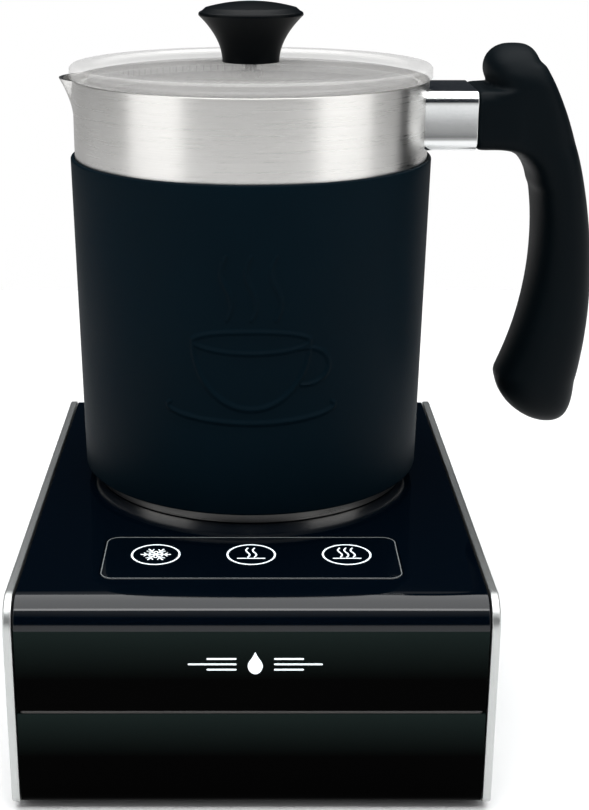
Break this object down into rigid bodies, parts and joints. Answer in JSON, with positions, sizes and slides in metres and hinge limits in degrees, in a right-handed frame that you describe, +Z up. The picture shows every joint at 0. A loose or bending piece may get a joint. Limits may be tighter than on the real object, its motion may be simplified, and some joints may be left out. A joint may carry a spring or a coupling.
{
  "type": "milk frother",
  "caption": "Milk frother: lidded steel jug with dark sleeve, soft side handle and pouring lip, standing on a low rectangular heating base with a touch panel.",
  "frame": {"origin": "bottom centre of the bounding box, on the surface the feet stand on", "axes": "-Y is the front with the touch panel, +X the handle side, +Z up through the jug"},
  "size_m": [0.1722, 0.175, 0.2107],
  "materials": {
    "housing_black": "gloss",
    "silver_panel": "satin",
    "panel_glass": "gloss",
    "mark_print": "printed",
    "spring_steel": "drawn wire",
    "circuit_board": "solder mask",
    "bare_aluminium": "satin",
    "white_plastic": "moulded",
    "coil_copper": "enamelled wire",
    "ferrite": "sintered",
    "plated_steel": "zinc plated",
    "magnet_nickel": "nickel plated",
    "black_plastic": "moulded",
    "can_sleeve": "shrink sleeve",
    "film_yellow": "moulded",
    "terminal_green": "moulded",
    "rubber_black": "matte",
    "jug_steel": "brushed round",
    "disc_steel": "turned",
    "sleeve_dark": "fine matt",
    "lid_clear": "clear",
    "seal_silicone": "matte",
    "knob_black": "satin",
    "ferrule_polished": "polished",
    "grip_soft": "soft matt"
  },
  "bodies": {
    "base": {"board_screws": "plated_steel", "bracket_screws": "plated_steel", "bulk_capacitor": "can_sleeve", "coil_carrier": "white_plastic", "control_panel": "panel_glass", "cord_gland": "rubber_black", "fan_frame": "black_plastic", "ferrite_bars": "ferrite", "filter_capacitor": "film_yellow", "heat_sink": "bare_aluminium", "housing_screws": "plated_steel", "induction_coil": "coil_copper", "left_side_panel": "silver_panel", "lower_housing": "housing_black", "mains_choke": "coil_copper", "motor_bracket": "plated_steel", "motor_can": "plated_steel", "power_board": "circuit_board", "power_switch": "black_plastic", "rear_cover": "housing_black", "resonant_capacitor": "film_yellow", "rest_plate": "housing_black", "right_side_panel": "silver_panel", "rubber_feet": "rubber_black", "sensor_guide": "white_plastic", "sensor_spring": "spring_steel", "terminal_block": "terminal_green", "touch_board": "circuit_board", "touch_marks": "mark_print", "touch_springs": "spring_steel", "upper_housing": "housing_black"},
    "drive": {"motor_shaft": "plated_steel", "magnet_carrier": "white_plastic", "drive_magnets": "magnet_nickel"},
    "fan": {"fan_rotor": "black_plastic"},
    "sensor": {"sensor_cup": "bare_aluminium"},
    "jug": {"jug_shell": "jug_steel", "jug_base_disc": "disc_steel", "jug_sleeve": "sleeve_dark", "whisk_pin": "jug_steel", "handle_bracket": "jug_steel", "handle_ferrule": "ferrule_polished", "handle_grip": "grip_soft", "handle_screw": "plated_steel"},
    "lid": {"lid_disc": "lid_clear", "lid_seal": "seal_silicone", "lid_knob": "knob_black", "lid_screw": "plated_steel"},
    "whisk": {"whisk_hub": "white_plastic", "whisk_stem": "white_plastic", "whisk_coil": "spring_steel", "whisk_frame": "jug_steel", "whisk_magnets": "magnet_nickel"}
  },
  "joints": [
    {"name": "jug_lift", "type": "slide", "parent": "base", "child": "jug", "axis": [0, 0, 1], "range_m": [0, 0.07]},
    {"name": "lid_lift", "type": "slide", "parent": "jug", "child": "lid", "axis": [0, 0, 1], "range_m": [0, 0.05]},
    {"name": "motor_spin", "type": "hinge", "parent": "base", "child": "drive", "pos_m": [-0.02015, 0.0165, 0.06], "axis": [0, 0, 1], "continuous": true},
    {"name": "whisk_spin", "type": "hinge", "parent": "jug", "child": "whisk", "pos_m": [-0.02015, 0.0165, 0.072], "axis": [0, 0, 1], "continuous": true},
    {"name": "fan_spin", "type": "hinge", "parent": "base", "child": "fan", "pos_m": [-0.05615, 0.0525, 0.014], "axis": [0, 0, 1], "continuous": true},
    {"name": "sensor_press", "type": "slide", "parent": "base", "child": "sensor", "axis": [0, 0, 1], "range_m": [-0.0015, 0], "stiffness_N_per_m": 300, "springref_m": 0.0015, "deforming": ["sensor_spring"]}
  ],
  "couplings": [
    {"joint": "motor_spin", "follows": "whisk_spin", "ratio": 1}
  ]
}
